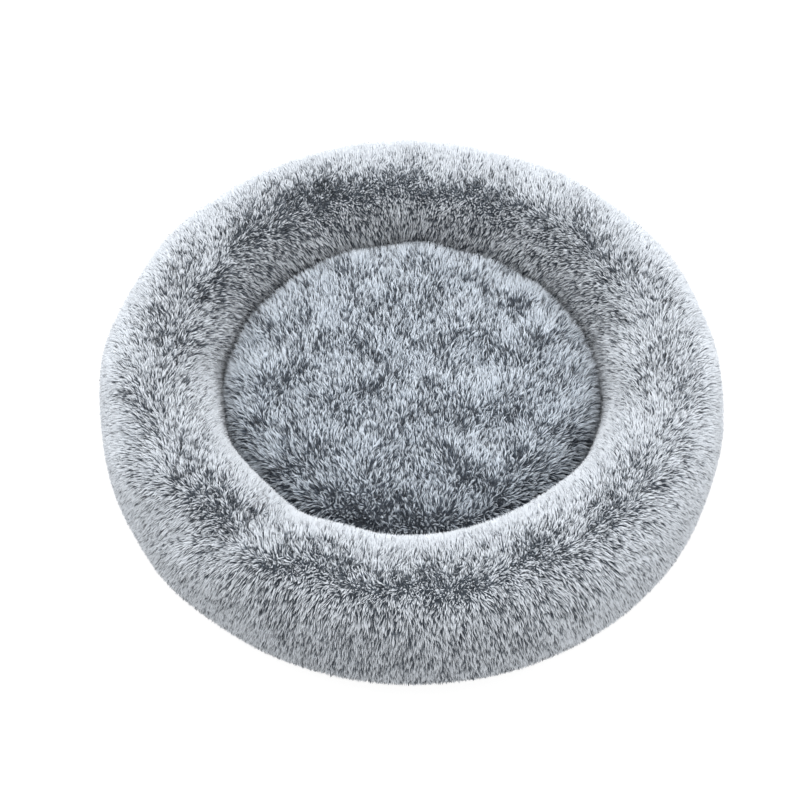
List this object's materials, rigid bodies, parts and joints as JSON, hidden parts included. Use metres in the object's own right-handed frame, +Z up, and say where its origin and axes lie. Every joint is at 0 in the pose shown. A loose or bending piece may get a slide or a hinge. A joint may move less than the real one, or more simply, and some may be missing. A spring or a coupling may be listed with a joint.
{
  "type": "donut pet bed",
  "caption": "Round donut pet bed: a long-pile fur rim over a fibre bolster, with a zipped base and a loose cushion in the nest that lifts out.",
  "frame": {"origin": "on the floor under the middle of the bed: the bottom centre of its bounding box", "axes": "+Z up, the bed's axis; the pictured front faces -Y; +X is to the right in the picture"},
  "size_m": [0.9024, 0.9024, 0.2252],
  "materials": {
    "rim_fur": "matte",
    "cushion_fur": "matte",
    "base_fabric": "matte",
    "cushion_base": "matte",
    "lining": "matte",
    "liner": "matte",
    "fibre": "matte",
    "zip_tape": "matte",
    "zip_coil": "satin",
    "zip_metal": "satin",
    "label": "satin"
  },
  "bodies": {
    "bed": {"rim_cover_back_right": "rim_fur", "rim_cover_back_left": "rim_fur", "rim_cover_front_left": "rim_fur", "rim_cover_front_right": "rim_fur", "base_panel": "base_fabric", "nest_floor": "lining", "bolster_liner_top": "liner", "bolster_liner_bottom": "liner", "bolster_fill": "fibre", "zip_tape_lower": "zip_tape", "zip_tape_upper": "zip_tape", "zip_coil": "zip_coil", "zip_top_stop": "zip_metal", "zip_bottom_stop": "zip_metal", "care_label": "label"},
    "cushion": {"cushion_top_panel": "cushion_fur", "cushion_base_panel": "cushion_base", "cushion_fill": "fibre"},
    "slider": {"zip_slider": "zip_metal"},
    "pull": {"zip_pull": "zip_metal"}
  },
  "joints": [
    {"name": "cushion_lift", "type": "slide", "parent": "bed", "child": "cushion", "axis": [0, 0, 1], "range_m": [0, 0.3]},
    {"name": "zip_travel", "type": "hinge", "parent": "bed", "child": "slider", "pos_m": [0, 0, 0], "axis": [0, 0, 1], "range_deg": [0, 175.3]},
    {"name": "pull_flip", "type": "hinge", "parent": "slider", "child": "pull", "pos_m": [0.41359, 0.01692, 0.01081], "axis": [0.6555, 0.0268, 0.7547], "range_deg": [-80, 80]}
  ]
}
